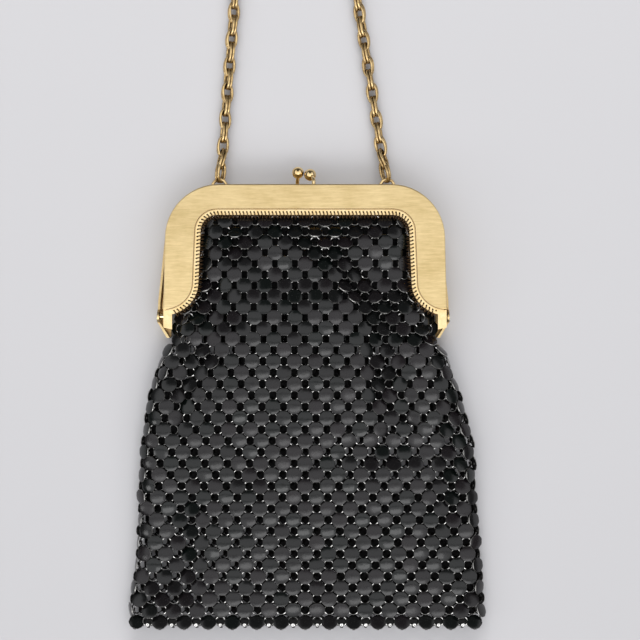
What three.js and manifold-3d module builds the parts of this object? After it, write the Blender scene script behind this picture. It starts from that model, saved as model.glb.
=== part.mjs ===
// A small evening purse of ring mesh, lying on its back: a hinged brass frame with a ball
// clasp, a chain handle and a soft hollow bag. Millimetres, +Z up. While it is built, the
// frame's top edge lies along X at y = 0, the chain runs towards +Y, the bag falls towards
// -Y and z = 0 is the surface under it. The last lines move the origin to the middle of
// the whole purse, at its lowest height.

import * as THREE from 'three';
import { mergeVertices } from 'three/addons/utils/BufferGeometryUtils.js';
import Module from 'manifold-3d';

const wasm = await Module();
wasm.setup();

// Frame: the closed pair of halves, each a flat band with a side wall along its outer edge
const FRAME_HALF_WIDTH = 58.4;
const FRAME_DROP = 52.1;
const FRAME_DEPTH = 19;
const CORNER_RADIUS = 22.5;
const BAND_THICKNESS = 1;
const SIDE_WALL = 0.9;
const EDGE_CHAMFER = 0.45;
const TOP_BAND = 10.2;
const WINDOW_HALF_WIDTH = 46.2;
const WINDOW_SPREAD = 0.9;
const WINDOW_RADIUS = 9.5;
const HEEL_DROP = 11.1;
const FRONT_SPLAY = 0.7;
const BACK_SPLAY = 3.2;
const BACK_SHIFT = -0.8;
const SEAT_GAP = 0.3;
const SOLDER_GAP = 0.1;
const LEG_SEGMENTS = 4;
const CORNER_SEGMENTS = 12;
const HEEL_SEGMENTS = 10;
const WINDOW_SEGMENTS = 8;
const CHAMFER_SEGMENTS = 2;
const ROD_SIDES = 12;

// Rims: the pierced strips under the bands that the mesh is sewn to
const RIM_WIDTH = 2.6;
const RIM_THICKNESS = 0.9;
const RIM_HOLE_RADIUS = 0.4;
const RIM_HOLE_PITCH = 1.52;
const RIM_HOLE_INSET = 1.35;
const RIM_HOLE_SIDES = 6;

// Hinges: ears of the front rim inside the legs of the back half, with a flush rivet
const EAR_WIDTH = 3.6;
const EAR_LENGTH = 8.2;
const EAR_SLANT = 0.8;
const LUG_RADIUS = 2.7;
const PIN_RADIUS = 1;
const PIN_HEAD_RADIUS = 1.9;
const PIN_HEAD_THICKNESS = 0.8;
const LEG_BEND = 5.4;
const LEG_TIP_LENGTH = 6.7;
const LEG_TIP_REACH = 4;
const LEG_TIP_WIDTH = 1.2;

// Clasp: two balls on bent posts, riveted through the top walls. In the table x runs from
// the frame's centre, y from its top edge, "deep" from the outside of the post's own band
// and "seam" from the plane where the halves meet. The back ball stands beside the front one.
const BALL_RADIUS = 2.55;
const BALL_GAP = 0.36;
const BALL_SEGMENTS = 12;
const BALL_RINGS = 8;
const STEM_RADIUS = 0.8;
const STEM_SIDES = 8;
const STEM_STEPS = 6;
const RIVET_RADIUS = 1.7;
const RIVET_THICKNESS = 0.8;
const POSTS = {
  front: { footX: 3.6, footDeep: 4.7, bendX: 3.5, bendY: 2.2, bendDeep: 5, ballY: 4.5, ballSeam: 0.9 },
  back: { footX: -3.4, footDeep: 4.7, bendX: -3.3, bendY: 2.4, bendDeep: 5.6, ballY: 5.5, ballSeam: -0.6 },
};
const FRONT_BALL_X = 2.1;

// Chain handle and the wire loops that hold its ends
const BAIL_FROM_CORNER = 0.3;
const BAIL_HALF_WIDTH = 3.1;
const BAIL_REACH = 3.1;
const BAIL_DEPTH = 4.1;
const BAIL_WIRE_RADIUS = 0.6;
const BAIL_HEIGHT = 5;
const BAIL_SIDES = 6;
const BAIL_SEGMENTS = 14;
const CHAIN_RADIUS = 2.3;
const CHAIN_SIDES = 8;
const CHAIN_STEP = 11;
const CHAIN_DROP = 190;
const CHAIN_ARCH_RADIUS = 13;
const CHAIN_ARCH_OFFSET = -8.2;
const CHAIN_ARCH_SEGMENTS = 6;
const CHAIN_LANDING = 16;
const CHAIN_FLOOR_GAP = 0.05;

// Points of a strand. "along" is a share of the landing, "down" of the fall from the bail
// to the floor, and the straight shares are shares of the strand's whole drop.
const LANDING_POINTS = [
  { along: 0, down: 0 },
  { along: 0.3, down: 0.3 },
  { along: 0.7, down: 0.9 },
  { along: 1, down: 1 },
  { along: 1.3, down: 1 },
];
const STRAIGHT_SHARES = [0.4, 0.7];

// Bag: a soft hollow wall with an open mouth between the rims
const BAG_HALF_WIDTH = 75.5;
const BAG_DROP = 187.2;
const BAG_WALL = 1.6;
const BAG_SIDE_ROUND = 9;
const MOUTH_TUCK = 0.8;
const SECTION_STEP = 9;
const HINGE_CLEARANCE = 0.8;

// Bag sections between the mouth and the hinges. "share" runs from the mouth to the leg
// tips, widths are shares of the room between the ears, heights of the frame's depth.
const FRAME_SECTIONS = [
  { share: 0.00, left: 0.83, right: 0.83, low: 0.135, high: 0.86 },
  { share: 0.14, left: 0.84, right: 0.84, low: 0.135, high: 0.86 },
  { share: 0.34, left: 0.84, right: 0.84, low: 0.135, high: 0.85 },
  { share: 0.55, left: 0.86, right: 0.86, low: 0.135, high: 0.85 },
  { share: 0.69, left: 0.92, right: 0.92, low: 0.135, high: 0.86 },
  { share: 0.80, left: 0.98, right: 0.98, low: 0.130, high: 0.86 },
  { share: 0.90, left: 0.99, right: 0.99, low: 0.110, high: 0.86 },
  { share: 1.00, left: 1.00, right: 1.00, low: 0.075, high: 0.86 },
];

// Bag sections below the frame. "share" runs from the leg tips to the bottom edge, widths
// are shares of the bag's half width, heights of the frame's depth.
const FALL_SECTIONS = [
  { share: 0.015, left: 0.755, right: 0.750, low: 0.06, high: 0.86 },
  { share: 0.030, left: 0.785, right: 0.775, low: 0.03, high: 0.86 },
  { share: 0.055, left: 0.805, right: 0.797, low: 0.00, high: 0.86 },
  { share: 0.115, left: 0.836, right: 0.826, low: 0.00, high: 0.84 },
  { share: 0.180, left: 0.874, right: 0.868, low: 0.00, high: 0.81 },
  { share: 0.290, left: 0.903, right: 0.915, low: 0.00, high: 0.75 },
  { share: 0.350, left: 0.914, right: 0.942, low: 0.00, high: 0.72 },
  { share: 0.450, left: 0.930, right: 0.956, low: 0.00, high: 0.67 },
  { share: 0.545, left: 0.939, right: 0.957, low: 0.00, high: 0.63 },
  { share: 0.625, left: 0.942, right: 0.967, low: 0.00, high: 0.59 },
  { share: 0.715, left: 0.952, right: 0.980, low: 0.00, high: 0.56 },
  { share: 0.800, left: 0.963, right: 0.991, low: 0.00, high: 0.53 },
  { share: 0.877, left: 0.984, right: 1.000, low: 0.00, high: 0.50 },
  { share: 0.935, left: 0.996, right: 1.008, low: 0.00, high: 0.48 },
  { share: 0.968, left: 0.984, right: 1.004, low: 0.01, high: 0.46 },
  { share: 0.990, left: 0.955, right: 0.975, low: 0.04, high: 0.42 },
  { share: 1.000, left: 0.925, right: 0.945, low: 0.09, high: 0.37 },
];

// Folds of the front panel, each a straight crease or swell. The x columns are shares of
// the bag's half width, the drop columns of its drop, and rise is a share of the depth.
const FOLDS = [
  { name: 'slack below the rim', x1: -0.45, drop1: 0.19, x2: 0.45, drop2: 0.20, rise: -0.10, spread: 9 },
  { name: 'left gather', x1: -0.50, drop1: 0.24, x2: -0.70, drop2: 0.52, rise: -0.17, spread: 6 },
  { name: 'left edge swell', x1: -0.68, drop1: 0.36, x2: -0.83, drop2: 0.55, rise: 0.05, spread: 5 },
  { name: 'right gather', x1: 0.31, drop1: 0.22, x2: 0.50, drop2: 0.52, rise: -0.17, spread: 6 },
  { name: 'right edge swell', x1: 0.55, drop1: 0.32, x2: 0.71, drop2: 0.57, rise: 0.05, spread: 7 },
  { name: 'cross crease', x1: 0.22, drop1: 0.62, x2: 0.68, drop2: 0.60, rise: -0.12, spread: 5 },
  { name: 'lower left crease', x1: -0.69, drop1: 0.70, x2: -0.65, drop2: 0.91, rise: -0.07, spread: 5 },
  { name: 'lower right crease', x1: 0.80, drop1: 0.68, x2: 0.85, drop2: 0.85, rise: -0.06, spread: 5 },
];

// Around a section: segments on each rounded edge and across the front and the back
const FRONT_EDGE_SEGMENTS = 3;
const BACK_EDGE_SEGMENTS = 2;
const FRONT_SEGMENTS = 18;
const BACK_SEGMENTS = 3;

// Places worked out from the sizes above
const seamHeight = FRAME_DEPTH / 2;
const hingeDrop = FRAME_DROP + SEAT_GAP + LUG_RADIUS;
const earFoot = FRAME_DROP + SEAT_GAP + EAR_LENGTH;
const footHalfWidth = FRAME_HALF_WIDTH + FRONT_SPLAY;
const backFootHalfWidth = FRAME_HALF_WIDTH + BACK_SPLAY;
const earInner = footHalfWidth - EAR_WIDTH;
const legBendDrop = FRAME_DROP + LEG_BEND;
const legTipDrop = legBendDrop + LEG_TIP_LENGTH;
const legTipOuter = backFootHalfWidth - LEG_TIP_REACH;
const legTipInner = legTipOuter - LEG_TIP_WIDTH;
const mouthDrop = TOP_BAND + RIM_WIDTH - MOUTH_TUCK;
const hingeRoom = Math.min(earInner, legTipInner + BACK_SHIFT, legTipInner - BACK_SHIFT) - HINGE_CLEARANCE;
const bailReach = FRAME_HALF_WIDTH - CORNER_RADIUS - BAIL_FROM_CORNER;
const bailCentres = [-bailReach + BACK_SHIFT, bailReach + BACK_SHIFT];
const wallPass = [-2 * SIDE_WALL, SIDE_WALL];
const hingePass = [earInner - EAR_WIDTH, backFootHalfWidth + EAR_WIDTH];

// A post's foot in its wall, its bend and its ball, from the table's row
function postPlaces(post, face, inward, ballX) {
  return {
    foot: new THREE.Vector3(post.footX, 0, face + inward * post.footDeep),
    bend: new THREE.Vector3(post.bendX, post.bendY, face + inward * post.bendDeep),
    ball: new THREE.Vector3(ballX, post.ballY, seamHeight + post.ballSeam),
  };
}

const ballStagger = Math.hypot(
  POSTS.front.ballY - POSTS.back.ballY, POSTS.front.ballSeam - POSTS.back.ballSeam,
);
const ballSpacing = Math.sqrt((2 * BALL_RADIUS + BALL_GAP) ** 2 - ballStagger ** 2);
const frontPost = postPlaces(POSTS.front, FRAME_DEPTH, -1, FRONT_BALL_X);
const backPost = postPlaces(POSTS.back, 0, 1, FRONT_BALL_X - ballSpacing);

const gold = { color: 0xd9bd7c, metalness: 1 };
const finishes = {
  brushed: new THREE.MeshStandardMaterial({ ...gold, roughness: 0.42 }),
  polished: new THREE.MeshStandardMaterial({ ...gold, roughness: 0.2 }),
  chain: new THREE.MeshStandardMaterial({ color: 0xa98445, metalness: 1, roughness: 0.3 }),
  enamel: new THREE.MeshStandardMaterial({ color: 0x16171a, metalness: 0, roughness: 0.25 }),
};

const purse = new THREE.Group();

function addPiece(name, geometry, finish) {
  geometry.computeVertexNormals();
  const mesh = new THREE.Mesh(geometry, finish);
  mesh.name = name;
  purse.add(mesh);
}

// Solids that are joined or cut

function toSolid(geometry) {
  const bare = geometry.clone();
  bare.deleteAttribute('normal');
  bare.deleteAttribute('uv');
  const merged = mergeVertices(bare, 1e-4);
  return new wasm.Manifold(new wasm.Mesh({
    numProp: 3,
    vertProperties: Float32Array.from(merged.attributes.position.array),
    triVerts: Uint32Array.from(merged.index.array),
  }));
}

function toGeometry(solid) {
  const mesh = solid.getMesh();
  const geometry = new THREE.BufferGeometry();
  geometry.setAttribute('position', new THREE.BufferAttribute(mesh.vertProperties, 3));
  geometry.setIndex(new THREE.BufferAttribute(mesh.triVerts, 1));
  return geometry;
}

function slab(shape, bottom, top) {
  const geometry = new THREE.ExtrudeGeometry(shape, { depth: top - bottom, bevelEnabled: false });
  return geometry.translate(0, 0, bottom);
}

// A flat shape drawn in (y, z), given a thickness along X
function sideSlab(shape, fromX, toX) {
  const geometry = slab(shape, fromX, toX);
  const axes = new THREE.Matrix4().makeBasis(
    new THREE.Vector3(0, 1, 0),
    new THREE.Vector3(0, 0, 1),
    new THREE.Vector3(1, 0, 0),
  );
  return geometry.applyMatrix4(axes);
}

function rodAlongX(radius, fromX, toX, y, z) {
  const rod = new THREE.CylinderGeometry(radius, radius, toX - fromX, ROD_SIDES);
  return rod.rotateZ(Math.PI / 2).translate((fromX + toX) / 2, y, z);
}

function rodAlongY(radius, fromY, toY, x, z) {
  const rod = new THREE.CylinderGeometry(radius, radius, toY - fromY, ROD_SIDES);
  return rod.translate(x, (fromY + toY) / 2, z);
}

// The bore for a hinge pin, through one side of the frame
function hingeBore(side) {
  const [near, far] = hingePass.map((x) => side * x).sort((a, b) => a - b);
  return toSolid(rodAlongX(PIN_RADIUS + SEAT_GAP, near, far, -hingeDrop, seamHeight));
}

// The hole for a post or a bail's wire, through a top wall
function wallHole(radius, x, z) {
  return toSolid(rodAlongY(radius + SEAT_GAP, ...wallPass, x, z));
}

// Outlines of the frame, each a list of points seen from the front

function arcPoints(centreX, centreY, radiusX, radiusY, fromDegrees, toDegrees, segments) {
  const points = [];
  for (let i = 0; i <= segments; i += 1) {
    const angle = THREE.MathUtils.degToRad(fromDegrees + (toDegrees - fromDegrees) * i / segments);
    points.push(new THREE.Vector2(centreX + radiusX * Math.cos(angle), centreY + radiusY * Math.sin(angle)));
  }
  return points;
}

function roundPoints(centreX, centreY, radius, sides) {
  return arcPoints(centreX, centreY, radius, radius, 0, 360, sides).slice(0, -1);
}

function mirrored(points) {
  return points.map((p) => new THREE.Vector2(-p.x, p.y)).reverse();
}

// The outer edge from the right foot over the top to the left foot
function outerLine({ inset, splay, foot }) {
  const leg = [];
  for (let i = 0; i <= LEG_SEGMENTS; i += 1) {
    const drop = foot + (CORNER_RADIUS - foot) * i / LEG_SEGMENTS;
    const along = Math.min(1, (drop - CORNER_RADIUS) / (FRAME_DROP - CORNER_RADIUS));
    leg.push(new THREE.Vector2(FRAME_HALF_WIDTH + splay * along - inset, -drop));
  }
  const radius = CORNER_RADIUS - inset;
  const centreX = FRAME_HALF_WIDTH - CORNER_RADIUS;
  const corner = arcPoints(centreX, -CORNER_RADIUS, radius, radius, 0, 90, CORNER_SEGMENTS);
  const right = [...leg, ...corner.slice(1)];
  return [...right, ...mirrored(right)];
}

// The window's edge from the left heel over the top to the right heel
function windowLine(offset) {
  const heelTop = HEEL_DROP - FRAME_DROP;
  const heelReach = footHalfWidth - WINDOW_HALF_WIDTH - WINDOW_SPREAD + offset;
  const heel = arcPoints(
    -footHalfWidth, heelTop, heelReach, HEEL_DROP + offset, -90, 0, HEEL_SEGMENTS,
  );
  const radius = WINDOW_RADIUS - offset;
  const corner = arcPoints(
    WINDOW_RADIUS - WINDOW_HALF_WIDTH, -TOP_BAND - WINDOW_RADIUS, radius, radius, 180, 90,
    WINDOW_SEGMENTS,
  );
  const left = [...heel, ...corner];
  return [...left, ...mirrored(left)];
}

// The part of a window line between two upright lines, ended exactly on them
function clipLine(points, limit) {
  const kept = points.filter((p) => Math.abs(p.x) < limit);
  const outside = points.filter((p) => p.x <= -limit);
  const last = outside[outside.length - 1];
  const share = (-limit - last.x) / (kept[0].x - last.x);
  const end = new THREE.Vector2(-limit, last.y + (kept[0].y - last.y) * share);
  return [end, ...kept, new THREE.Vector2(limit, end.y)];
}

// Frame halves

function chamferedCore(outline, bottom, top) {
  const shape = new THREE.Shape(outline);
  const geometry = new THREE.ExtrudeGeometry(shape, {
    depth: top - bottom,
    bevelEnabled: true,
    bevelThickness: EDGE_CHAMFER,
    bevelSize: EDGE_CHAMFER,
    bevelOffset: -EDGE_CHAMFER,
    bevelSegments: CHAMFER_SEGMENTS,
  });
  return geometry.translate(0, 0, bottom);
}

function wallShape(outer, inner) {
  return new THREE.Shape([...outer, ...[...inner].reverse()]);
}

const frontOuter = outerLine({ inset: 0, splay: FRONT_SPLAY, foot: FRAME_DROP });
const frontInner = outerLine({ inset: SIDE_WALL, splay: FRONT_SPLAY, foot: FRAME_DROP });

function frontFrame() {
  const band = slab(
    new THREE.Shape([...frontOuter, ...windowLine(0).slice(1, -1)]),
    FRAME_DEPTH - BAND_THICKNESS,
    FRAME_DEPTH,
  );
  const wall = slab(wallShape(frontOuter, frontInner), seamHeight + SEAT_GAP / 2, FRAME_DEPTH);
  const core = chamferedCore(frontOuter, 0, FRAME_DEPTH - EDGE_CHAMFER);
  const hole = wallHole(STEM_RADIUS, frontPost.foot.x, frontPost.foot.z);
  return toSolid(band).add(toSolid(wall)).intersect(toSolid(core)).subtract(hole);
}

// The back half is drawn as it is seen from the front, with its band lowest, and stands
// a little to one side of the front half
function toBackSolid(geometry) {
  return toSolid(geometry.translate(BACK_SHIFT, 0, 0));
}

function backLine(inset) {
  const line = outerLine({ inset, splay: BACK_SPLAY, foot: legBendDrop });
  const tipX = inset > 0 ? legTipInner : legTipOuter;
  const tip = new THREE.Vector2(tipX, -legTipDrop);
  return [tip, ...line, new THREE.Vector2(-tipX, -legTipDrop)];
}

function backLug(side) {
  const shape = new THREE.Shape();
  shape.moveTo(-hingeDrop + LUG_RADIUS, 0);
  shape.lineTo(-hingeDrop + LUG_RADIUS, seamHeight);
  shape.absarc(-hingeDrop, seamHeight, LUG_RADIUS, 0, Math.PI, false);
  shape.lineTo(-hingeDrop - LUG_RADIUS, 0);
  const inner = side * (backFootHalfWidth - SIDE_WALL);
  const outer = side * backFootHalfWidth;
  return sideSlab(shape, Math.min(inner, outer), Math.max(inner, outer));
}

function backFrame() {
  const outer = backLine(0);
  const inner = backLine(SIDE_WALL);
  const window = clipLine(windowLine(0), legTipInner);
  const foot = new THREE.Vector2(legTipInner, -legTipDrop);
  const bandShape = new THREE.Shape([
    ...outer,
    new THREE.Vector2(-foot.x, foot.y),
    ...window,
    foot,
  ]);
  const band = toBackSolid(slab(bandShape, 0, BAND_THICKNESS));
  const wall = toBackSolid(slab(wallShape(outer, inner), 0, seamHeight - SEAT_GAP / 2));
  const core = toBackSolid(chamferedCore(outer, EDGE_CHAMFER, FRAME_DEPTH));
  let half = band.add(wall).add(toBackSolid(backLug(-1))).add(toBackSolid(backLug(1)));
  half = half.intersect(core).subtract(hingeBore(-1)).subtract(hingeBore(1));
  for (const centre of bailCentres) {
    for (const leg of [-BAIL_HALF_WIDTH, BAIL_HALF_WIDTH]) {
      half = half.subtract(wallHole(BAIL_WIRE_RADIUS, centre + leg, BAIL_HEIGHT));
    }
  }
  return half.subtract(wallHole(STEM_RADIUS, backPost.foot.x, backPost.foot.z));
}

// Rims

function holeCentres() {
  const line = clipLine(windowLine(RIM_HOLE_INSET), earInner - 2 * RIM_HOLE_RADIUS);
  const path = new THREE.CurvePath();
  for (let i = 1; i < line.length; i += 1) {
    path.add(new THREE.LineCurve(line[i - 1], line[i]));
  }
  const count = Math.round(path.getLength() / RIM_HOLE_PITCH);
  return path.getSpacedPoints(count);
}

function rimOuterLine(splay) {
  const inset = SIDE_WALL + SEAT_GAP;
  return outerLine({ inset, splay, foot: FRAME_DROP - SEAT_GAP });
}

function frontEar(side) {
  const shape = new THREE.Shape();
  const nearY = -FRAME_DROP - SEAT_GAP;
  const top = FRAME_DEPTH - BAND_THICKNESS - SOLDER_GAP;
  shape.moveTo(nearY, top);
  shape.lineTo(nearY, seamHeight);
  shape.absarc(-hingeDrop, seamHeight, LUG_RADIUS, 0, -Math.PI, true);
  shape.lineTo(-earFoot + EAR_SLANT, top - RIM_THICKNESS);
  shape.lineTo(-earFoot + EAR_SLANT, top);
  const inner = side * (footHalfWidth - SIDE_WALL);
  const outer = side * footHalfWidth;
  return sideSlab(shape, Math.min(inner, outer), Math.max(inner, outer));
}

function frontRim() {
  const top = FRAME_DEPTH - BAND_THICKNESS - SOLDER_GAP;
  const outer = rimOuterLine(FRONT_SPLAY);
  const right = outer[0];
  const ear = [
    new THREE.Vector2(right.x, -FRAME_DROP - SEAT_GAP),
    new THREE.Vector2(footHalfWidth, -FRAME_DROP - SEAT_GAP),
    new THREE.Vector2(footHalfWidth, -earFoot + EAR_SLANT),
    new THREE.Vector2(earInner, -earFoot),
  ].reverse();
  const inner = clipLine(windowLine(RIM_WIDTH), earInner);
  const shape = new THREE.Shape([...ear, ...outer, ...mirrored(ear), ...inner]);
  for (const centre of holeCentres()) {
    const hole = roundPoints(centre.x, centre.y, RIM_HOLE_RADIUS, RIM_HOLE_SIDES);
    shape.holes.push(new THREE.Path(hole));
  }
  let rim = toSolid(slab(shape, top - RIM_THICKNESS, top));
  for (const side of [-1, 1]) {
    rim = rim.add(toSolid(frontEar(side))).subtract(hingeBore(side));
  }
  return rim;
}

function backRim() {
  const bottom = BAND_THICKNESS + SOLDER_GAP;
  const inner = clipLine(windowLine(RIM_WIDTH), legTipInner);
  const shape = new THREE.Shape([...rimOuterLine(BACK_SPLAY), ...inner]);
  return slab(shape, bottom, bottom + RIM_THICKNESS).translate(BACK_SHIFT, 0, 0);
}

// Hinge rivet: a head inside the ear, flush with the outside of the back leg
function hingePin(side) {
  const inside = footHalfWidth - SIDE_WALL - SEAT_GAP;
  const outside = backFootHalfWidth + side * BACK_SHIFT;
  const profile = [
    new THREE.Vector2(0, inside - PIN_HEAD_THICKNESS),
    new THREE.Vector2(PIN_HEAD_RADIUS, inside - PIN_HEAD_THICKNESS),
    new THREE.Vector2(PIN_HEAD_RADIUS, inside),
    new THREE.Vector2(PIN_RADIUS, inside),
    new THREE.Vector2(PIN_RADIUS, outside),
    new THREE.Vector2(0, outside),
  ];
  const pin = new THREE.LatheGeometry(profile, ROD_SIDES);
  pin.rotateZ(side > 0 ? -Math.PI / 2 : Math.PI / 2);
  return pin.translate(0, -hingeDrop, seamHeight);
}

function wireAlong(curve, radius, sides, steps) {
  const section = new THREE.Shape(roundPoints(0, 0, radius, sides));
  return new THREE.ExtrudeGeometry(section, { steps, bevelEnabled: false, extrudePath: curve });
}

function claspBall({ foot, bend, ball }) {
  const inside = -SIDE_WALL - SEAT_GAP;
  const knob = new THREE.SphereGeometry(BALL_RADIUS, BALL_SEGMENTS, BALL_RINGS);
  knob.translate(ball.x, ball.y, ball.z);
  const curve = new THREE.CatmullRomCurve3([
    foot.clone().setY(inside - RIVET_THICKNESS / 2),
    foot.clone().setY(SEAT_GAP),
    bend,
    ball,
  ], false, 'centripetal');
  const stem = wireAlong(curve, STEM_RADIUS, STEM_SIDES, STEM_STEPS);
  const rivet = rodAlongY(RIVET_RADIUS, inside - RIVET_THICKNESS, inside, foot.x, foot.z);
  return toSolid(knob).add(toSolid(stem)).add(toSolid(rivet));
}

// Bails: closed oval loops through two holes of the back half's top wall
function bail(centreX) {
  const halfHeight = (BAIL_REACH + BAIL_DEPTH) / 2;
  const loop = new THREE.TorusGeometry(
    BAIL_HALF_WIDTH, BAIL_WIRE_RADIUS, BAIL_SIDES, BAIL_SEGMENTS,
  );
  loop.scale(1, halfHeight / BAIL_HALF_WIDTH, 1);
  return loop.translate(centreX, (BAIL_REACH - BAIL_DEPTH) / 2, BAIL_HEIGHT);
}

// Chain: both strands run straight from the bails to an arch at the top. The list is the
// left strand, the arch and the right strand of the tube that bounds the links.
function chainRoute() {
  const start = BAIL_REACH + 2 * BAIL_WIRE_RADIUS + SEAT_GAP;
  const lying = CHAIN_RADIUS + CHAIN_FLOOR_GAP;
  const strand = (bailX, archX) => {
    const at = (y, z) => new THREE.Vector3(bailX + (archX - bailX) * y / CHAIN_DROP, y, z);
    const landing = LANDING_POINTS.map(({ along, down }) => (
      at(start + CHAIN_LANDING * along, THREE.MathUtils.lerp(BAIL_HEIGHT, lying, down))
    ));
    return [...landing, ...STRAIGHT_SHARES.map((share) => at(CHAIN_DROP * share, lying))];
  };
  const left = strand(bailCentres[0], CHAIN_ARCH_OFFSET - CHAIN_ARCH_RADIUS);
  const right = strand(bailCentres[1], CHAIN_ARCH_OFFSET + CHAIN_ARCH_RADIUS);
  const arch = arcPoints(
    CHAIN_ARCH_OFFSET, CHAIN_DROP, CHAIN_ARCH_RADIUS, CHAIN_ARCH_RADIUS, 180, 0,
    CHAIN_ARCH_SEGMENTS,
  ).map((p) => new THREE.Vector3(p.x, p.y, lying));
  return new THREE.CatmullRomCurve3([...left, ...arch, ...right.reverse()], false, 'centripetal');
}

function chainTube() {
  const route = chainRoute();
  return wireAlong(route, CHAIN_RADIUS, CHAIN_SIDES, Math.round(route.getLength() / CHAIN_STEP));
}

// Bag

function foldRise(x, drop) {
  let rise = 0;
  for (const fold of FOLDS) {
    const x1 = fold.x1 * BAG_HALF_WIDTH;
    const y1 = fold.drop1 * BAG_DROP;
    const runX = fold.x2 * BAG_HALF_WIDTH - x1;
    const runY = fold.drop2 * BAG_DROP - y1;
    const along = ((x - x1) * runX + (drop - y1) * runY) / (runX * runX + runY * runY);
    const held = Math.min(1, Math.max(0, along));
    const away = Math.hypot(x - x1 - held * runX, drop - y1 - held * runY);
    rise += fold.rise * FRAME_DEPTH * Math.exp(-((away / fold.spread) ** 2));
  }
  return rise;
}

// Both tables as real sizes, from the mouth down
function sectionTable() {
  const fallStart = legTipDrop + SEAT_GAP;
  return [
    ...FRAME_SECTIONS.map((row) => ({
      drop: mouthDrop + (fallStart - mouthDrop) * row.share,
      left: row.left * hingeRoom,
      right: row.right * hingeRoom,
      low: row.low * FRAME_DEPTH,
      high: row.high * FRAME_DEPTH,
    })),
    ...FALL_SECTIONS.map((row) => ({
      drop: fallStart + (BAG_DROP - fallStart) * row.share,
      left: row.left * BAG_HALF_WIDTH,
      right: row.right * BAG_HALF_WIDTH,
      low: row.low * FRAME_DEPTH,
      high: row.high * FRAME_DEPTH,
    })),
  ];
}

function sectionAt(table, drop) {
  const below = Math.max(1, table.findIndex((row) => row.drop >= drop));
  const [from, to] = [table[below - 1], table[below]];
  const share = (drop - from.drop) / (to.drop - from.drop);
  const section = {};
  for (const key of Object.keys(to)) {
    section[key] = THREE.MathUtils.lerp(from[key], to[key], share);
  }
  return section;
}

// The drops of the table's rows, with more between rows that lie far apart
function sectionDrops(table) {
  const drops = [table[0].drop];
  for (let i = 1; i < table.length; i += 1) {
    const gap = table[i].drop - table[i - 1].drop;
    const pieces = Math.ceil(gap / SECTION_STEP);
    for (let k = 1; k <= pieces; k += 1) {
      drops.push(table[i - 1].drop + gap * k / pieces);
    }
  }
  return drops;
}

// One closed ring of points around a section, inset by the wall for the inner face
function sectionRing(section, inset) {
  const middle = (section.low + section.high) / 2;
  const halfHeight = (section.high - section.low) / 2 - inset;
  const round = BAG_SIDE_ROUND - inset;
  const left = -section.left + BAG_SIDE_ROUND;
  const right = section.right - BAG_SIDE_ROUND;
  const flat = [];
  const edge = (centre, from, to, segments) => {
    flat.push(...arcPoints(centre, 0, round, halfHeight, from, to, segments).slice(0, -1));
  };
  const across = (from, to, height, segments) => {
    for (let i = 0; i < segments; i += 1) {
      flat.push(new THREE.Vector2(THREE.MathUtils.lerp(from, to, i / segments), height));
    }
  };
  edge(right, 0, 90, FRONT_EDGE_SEGMENTS);
  across(right, left, halfHeight, FRONT_SEGMENTS);
  edge(left, 90, 180, FRONT_EDGE_SEGMENTS);
  edge(left, 180, 270, BACK_EDGE_SEGMENTS);
  across(left, right, -halfHeight, BACK_SEGMENTS);
  edge(right, 270, 360, BACK_EDGE_SEGMENTS);
  return flat.map((p) => {
    const upper = Math.max(0, p.y / halfHeight);
    const lifted = middle + p.y + upper * foldRise(p.x, section.drop);
    return new THREE.Vector3(p.x, -section.drop, lifted);
  });
}

function stitchRings(rings, offset, outward) {
  const count = rings[0].length;
  const triangles = [];
  for (let row = 1; row < rings.length; row += 1) {
    for (let i = 0; i < count; i += 1) {
      const next = (i + 1) % count;
      const a = offset + (row - 1) * count + i;
      const b = offset + (row - 1) * count + next;
      const c = offset + row * count + i;
      const d = offset + row * count + next;
      triangles.push(...(outward ? [a, b, c, b, d, c] : [a, c, b, b, c, d]));
    }
  }
  return triangles;
}

function capRing(ring, offset, outward) {
  const flat = ring.map((p) => new THREE.Vector2(p.x, p.z));
  const triangles = [];
  for (const [a, b, c] of THREE.ShapeUtils.triangulateShape(flat, [])) {
    triangles.push(...(outward ? [a, b, c] : [a, c, b]).map((i) => i + offset));
  }
  return triangles;
}

function meshBag() {
  const table = sectionTable();
  const drops = sectionDrops(table);
  const inside = BAG_DROP - 2 * BAG_WALL;
  const innerDrops = [...drops.filter((drop) => drop < inside - BAG_WALL), inside];
  const outer = drops.map((drop) => sectionRing(sectionAt(table, drop), 0));
  const inner = innerDrops.map((drop) => sectionRing(sectionAt(table, drop), BAG_WALL));
  const count = outer[0].length;
  const innerStart = outer.length * count;
  const triangles = [
    ...stitchRings(outer, 0, true),
    ...capRing(outer[outer.length - 1], (outer.length - 1) * count, true),
    ...stitchRings(inner, innerStart, false),
    ...capRing(inner[inner.length - 1], innerStart + (inner.length - 1) * count, false),
  ];
  for (let i = 0; i < count; i += 1) {
    const next = (i + 1) % count;
    triangles.push(i, innerStart + i, next, next, innerStart + i, innerStart + next);
  }
  const geometry = new THREE.BufferGeometry().setFromPoints([...outer.flat(), ...inner.flat()]);
  geometry.setIndex(triangles);
  return geometry;
}

addPiece('frame_front', toGeometry(frontFrame()), finishes.brushed);
addPiece('rim_front', toGeometry(frontRim()), finishes.polished);
addPiece('frame_back', toGeometry(backFrame()), finishes.brushed);
addPiece('rim_back', backRim(), finishes.polished);
addPiece('hinge_pin_left', hingePin(-1), finishes.polished);
addPiece('hinge_pin_right', hingePin(1), finishes.polished);
addPiece('clasp_ball_front', toGeometry(claspBall(frontPost)), finishes.polished);
addPiece('clasp_ball_back', toGeometry(claspBall(backPost)), finishes.polished);
addPiece('chain_bail_left', bail(bailCentres[0]), finishes.polished);
addPiece('chain_bail_right', bail(bailCentres[1]), finishes.polished);
addPiece('chain', chainTube(), finishes.chain);
addPiece('mesh_bag', meshBag(), finishes.enamel);

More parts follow.
